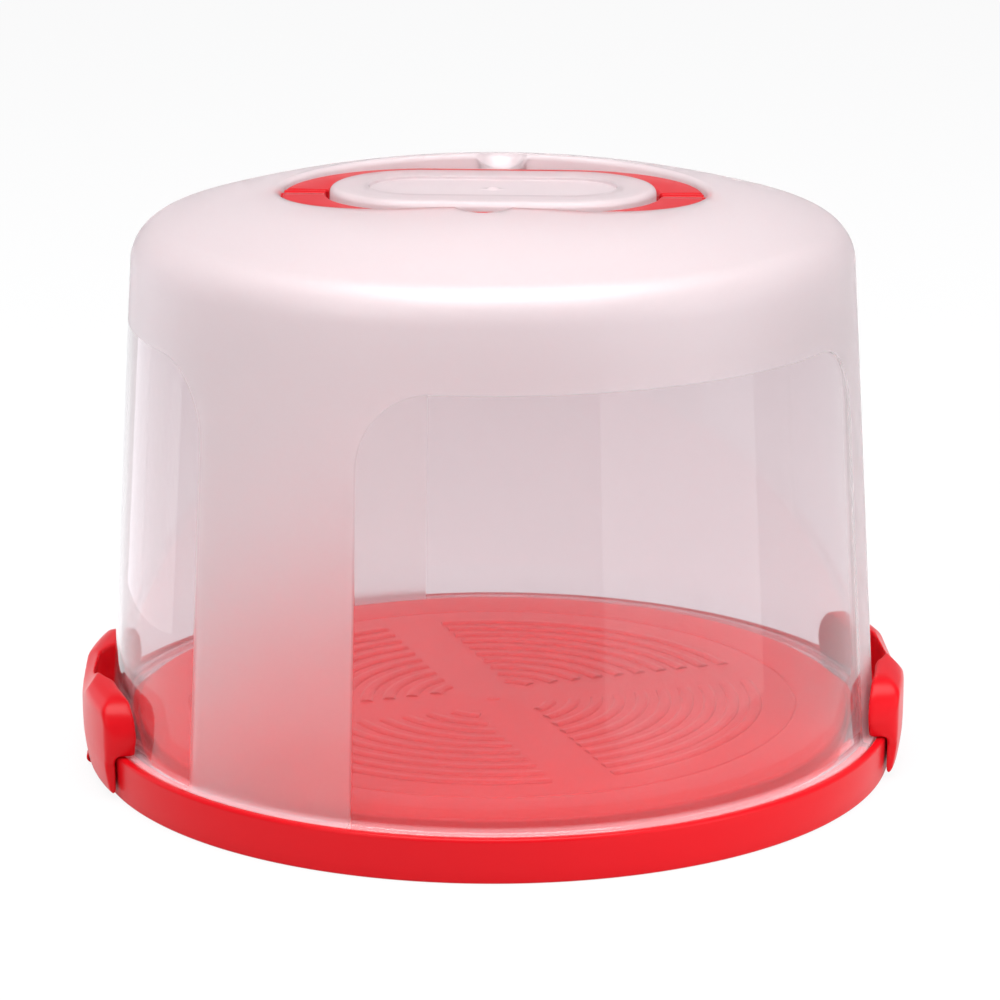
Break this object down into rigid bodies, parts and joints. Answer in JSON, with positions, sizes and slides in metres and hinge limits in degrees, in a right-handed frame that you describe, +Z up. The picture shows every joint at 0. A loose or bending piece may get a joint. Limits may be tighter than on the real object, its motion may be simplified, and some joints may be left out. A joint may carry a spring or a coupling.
{
  "type": "cake carrier",
  "caption": "Round cake carrier: red tray with a rippled floor, lift-off frosted dome, side swing latches and a folding bail handle in the dome's top.",
  "frame": {"origin": "centre of the tray's foot ring, on the surface it stands on", "axes": "+X through the right latch, +Z up; the handle's front half lies towards -Y"},
  "size_m": [0.3206, 0.311, 0.226],
  "materials": {
    "red_plastic": "moulded red polypropylene, semi-gloss",
    "frosted_plastic": "translucent polypropylene, frosted above and in three strips, clear in three windows"
  },
  "bodies": {
    "tray": {"tray": "red_plastic"},
    "dome": {"dome": "frosted_plastic"},
    "left_latch": {"left_latch": "red_plastic"},
    "right_latch": {"right_latch": "red_plastic"},
    "front_handle": {"front_handle": "red_plastic"},
    "rear_handle": {"rear_handle": "red_plastic"}
  },
  "joints": [
    {"name": "dome_lift", "type": "slide", "parent": "tray", "child": "dome", "axis": [0, 0, 1], "range_m": [0, 0.24]},
    {"name": "left_latch_hinge", "type": "hinge", "parent": "tray", "child": "left_latch", "pos_m": [-0.1569, 0, 0.0032], "axis": [0, -1, 0], "range_deg": [0, 80]},
    {"name": "right_latch_hinge", "type": "hinge", "parent": "tray", "child": "right_latch", "pos_m": [0.1569, 0, 0.0032], "axis": [0, 1, 0], "range_deg": [0, 80]},
    {"name": "front_handle_hinge", "type": "hinge", "parent": "dome", "child": "front_handle", "pos_m": [-0.00046, -0.00317, 0.2174], "axis": [-0.9898, 0.1426, 0], "range_deg": [0, 90]},
    {"name": "rear_handle_hinge", "type": "hinge", "parent": "dome", "child": "rear_handle", "pos_m": [0.00046, 0.00317, 0.2174], "axis": [0.9898, -0.1426, 0], "range_deg": [0, 90]}
  ]
}
